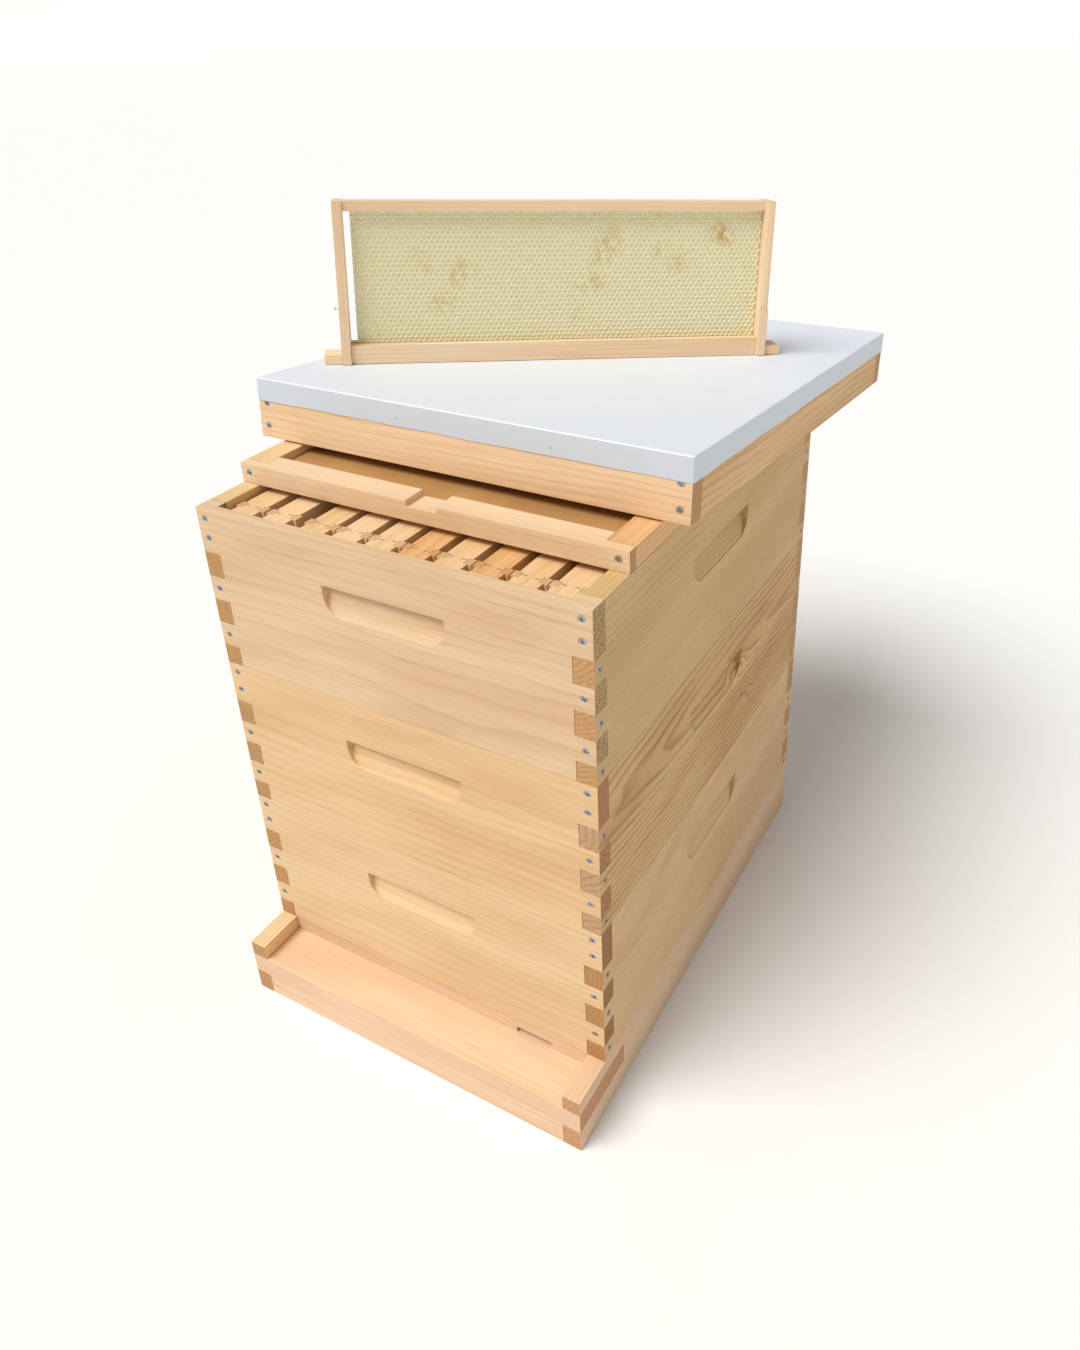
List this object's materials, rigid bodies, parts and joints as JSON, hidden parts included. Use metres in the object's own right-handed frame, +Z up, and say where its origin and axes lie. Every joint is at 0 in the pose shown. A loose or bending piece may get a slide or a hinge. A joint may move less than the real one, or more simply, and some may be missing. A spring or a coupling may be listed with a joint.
{
  "type": "beehive",
  "caption": "Wooden beehive of stacked supers with hanging frames, on a bottom board with a landing, under an inner cover and a metal-clad outer cover, with a spare frame on top.",
  "frame": {"origin": "on the ground, under the middle of the box round the whole hive as it stands with its covers pushed back", "axes": "+Z up; -Y is the front, with the landing and the entrance; +X is to the right for someone facing the front"},
  "size_m": [0.4658, 0.7316, 0.8063],
  "materials": {
    "pine": "planed, unpainted",
    "frame_pine": "sawn and planed, unpainted",
    "hardboard": "smooth hardboard",
    "galvanised_sheet": "pale galvanised sheet, satin",
    "waxed_foundation": "moulded plastic coated with beeswax",
    "zinc_fasteners": "zinc-plated screws, nails and staples"
  },
  "bodies": {
    "bottom_board": {"bottom_rail_left": "pine", "bottom_rail_right": "pine", "bottom_floor_front": "pine", "bottom_floor_middle": "pine", "bottom_floor_rear": "pine", "bottom_apron": "pine", "bottom_rear_cleat": "pine"},
    "reducer": {"entrance_reducer": "pine"},
    "lower_super": {"lower_super_front": "pine", "lower_super_rear": "pine", "lower_super_left": "pine", "lower_super_right": "pine"},
    "lower_frames": {"lower_frame_set": "frame_pine"},
    "middle_super": {"middle_super_front": "pine", "middle_super_rear": "pine", "middle_super_left": "pine", "middle_super_right": "pine"},
    "middle_frames": {"middle_frame_set": "frame_pine"},
    "upper_super": {"upper_super_front": "pine", "upper_super_rear": "pine", "upper_super_left": "pine", "upper_super_right": "pine"},
    "frame_01": {"upper_frame_01_wood": "frame_pine", "upper_frame_01_foundation": "waxed_foundation"},
    "frame_02": {"upper_frame_02_wood": "frame_pine", "upper_frame_02_foundation": "waxed_foundation"},
    "frame_03": {"upper_frame_03_wood": "frame_pine", "upper_frame_03_foundation": "waxed_foundation"},
    "frame_04": {"upper_frame_04_wood": "frame_pine", "upper_frame_04_foundation": "waxed_foundation"},
    "frame_05": {"upper_frame_05_wood": "frame_pine", "upper_frame_05_foundation": "waxed_foundation"},
    "frame_06": {"upper_frame_06_wood": "frame_pine", "upper_frame_06_foundation": "waxed_foundation"},
    "frame_07": {"upper_frame_07_wood": "frame_pine", "upper_frame_07_foundation": "waxed_foundation"},
    "frame_08": {"upper_frame_08_wood": "frame_pine", "upper_frame_08_foundation": "waxed_foundation"},
    "frame_09": {"upper_frame_09_wood": "frame_pine", "upper_frame_09_foundation": "waxed_foundation"},
    "frame_10": {"upper_frame_10_wood": "frame_pine", "upper_frame_10_foundation": "waxed_foundation"},
    "inner_cover": {"inner_cover_front_rail": "pine", "inner_cover_rear_rail": "pine", "inner_cover_left_rail": "pine", "inner_cover_right_rail": "pine", "inner_cover_panel": "hardboard"},
    "outer_cover": {"outer_cover_front_rim": "pine", "outer_cover_rear_rim": "pine", "outer_cover_left_rim": "pine", "outer_cover_right_rim": "pine", "outer_cover_top_board": "pine", "outer_cover_sheet": "galvanised_sheet"},
    "spare_frame": {"spare_frame_top_bar": "frame_pine", "spare_frame_bottom_bar": "frame_pine", "spare_frame_left_end_bar": "frame_pine", "spare_frame_right_end_bar": "frame_pine", "spare_frame_foundation": "waxed_foundation"}
  },
  "joints": [
    {"name": "reducer_slide", "type": "slide", "parent": "bottom_board", "child": "reducer", "axis": [0, -1, 0], "range_m": [0, 0.05]},
    {"name": "lower_super_lift", "type": "slide", "parent": "bottom_board", "child": "lower_super", "axis": [0, 0, 1], "range_m": [0, 0.25]},
    {"name": "lower_frames_lift", "type": "slide", "parent": "lower_super", "child": "lower_frames", "axis": [0, 0, 1], "range_m": [0, 0.18]},
    {"name": "middle_super_lift", "type": "slide", "parent": "lower_frames", "child": "middle_super", "axis": [0, 0, 1], "range_m": [0, 0.25]},
    {"name": "middle_frames_lift", "type": "slide", "parent": "middle_super", "child": "middle_frames", "axis": [0, 0, 1], "range_m": [0, 0.18]},
    {"name": "upper_super_lift", "type": "slide", "parent": "middle_frames", "child": "upper_super", "axis": [0, 0, 1], "range_m": [0, 0.25]},
    {"name": "frame_05_lift", "type": "slide", "parent": "upper_super", "child": "frame_05", "axis": [0, 0, 1], "range_m": [0, 0.18]},
    {"name": "frame_01_lift", "type": "slide", "parent": "upper_super", "child": "frame_01", "axis": [0, 0, 1], "range_m": [0, 0.18]},
    {"name": "frame_02_lift", "type": "slide", "parent": "upper_super", "child": "frame_02", "axis": [0, 0, 1], "range_m": [0, 0.18]},
    {"name": "frame_03_lift", "type": "slide", "parent": "upper_super", "child": "frame_03", "axis": [0, 0, 1], "range_m": [0, 0.18]},
    {"name": "frame_04_lift", "type": "slide", "parent": "upper_super", "child": "frame_04", "axis": [0, 0, 1], "range_m": [0, 0.18]},
    {"name": "frame_06_lift", "type": "slide", "parent": "upper_super", "child": "frame_06", "axis": [0, 0, 1], "range_m": [0, 0.18]},
    {"name": "frame_07_lift", "type": "slide", "parent": "upper_super", "child": "frame_07", "axis": [0, 0, 1], "range_m": [0, 0.18]},
    {"name": "frame_08_lift", "type": "slide", "parent": "upper_super", "child": "frame_08", "axis": [0, 0, 1], "range_m": [0, 0.18]},
    {"name": "frame_09_lift", "type": "slide", "parent": "upper_super", "child": "frame_09", "axis": [0, 0, 1], "range_m": [0, 0.18]},
    {"name": "frame_10_lift", "type": "slide", "parent": "upper_super", "child": "frame_10", "axis": [0, 0, 1], "range_m": [0, 0.18]},
    {"name": "inner_cover_lift", "type": "slide", "parent": "frame_05", "child": "inner_cover", "axis": [0, 0, 1], "range_m": [0, 0.25]},
    {"name": "outer_cover_lift", "type": "slide", "parent": "inner_cover", "child": "outer_cover", "axis": [0, 0, 1], "range_m": [0, 0.25]},
    {"name": "spare_frame_lift", "type": "slide", "parent": "outer_cover", "child": "spare_frame", "axis": [0, 0, 1], "range_m": [0, 0.25]}
  ],
  "couplings": [
    {"joint": "frame_01_lift", "follows": "frame_05_lift", "ratio": 1},
    {"joint": "frame_02_lift", "follows": "frame_05_lift", "ratio": 1},
    {"joint": "frame_03_lift", "follows": "frame_05_lift", "ratio": 1},
    {"joint": "frame_04_lift", "follows": "frame_05_lift", "ratio": 1},
    {"joint": "frame_06_lift", "follows": "frame_05_lift", "ratio": 1},
    {"joint": "frame_07_lift", "follows": "frame_05_lift", "ratio": 1},
    {"joint": "frame_08_lift", "follows": "frame_05_lift", "ratio": 1},
    {"joint": "frame_09_lift", "follows": "frame_05_lift", "ratio": 1},
    {"joint": "frame_10_lift", "follows": "frame_05_lift", "ratio": 1}
  ]
}
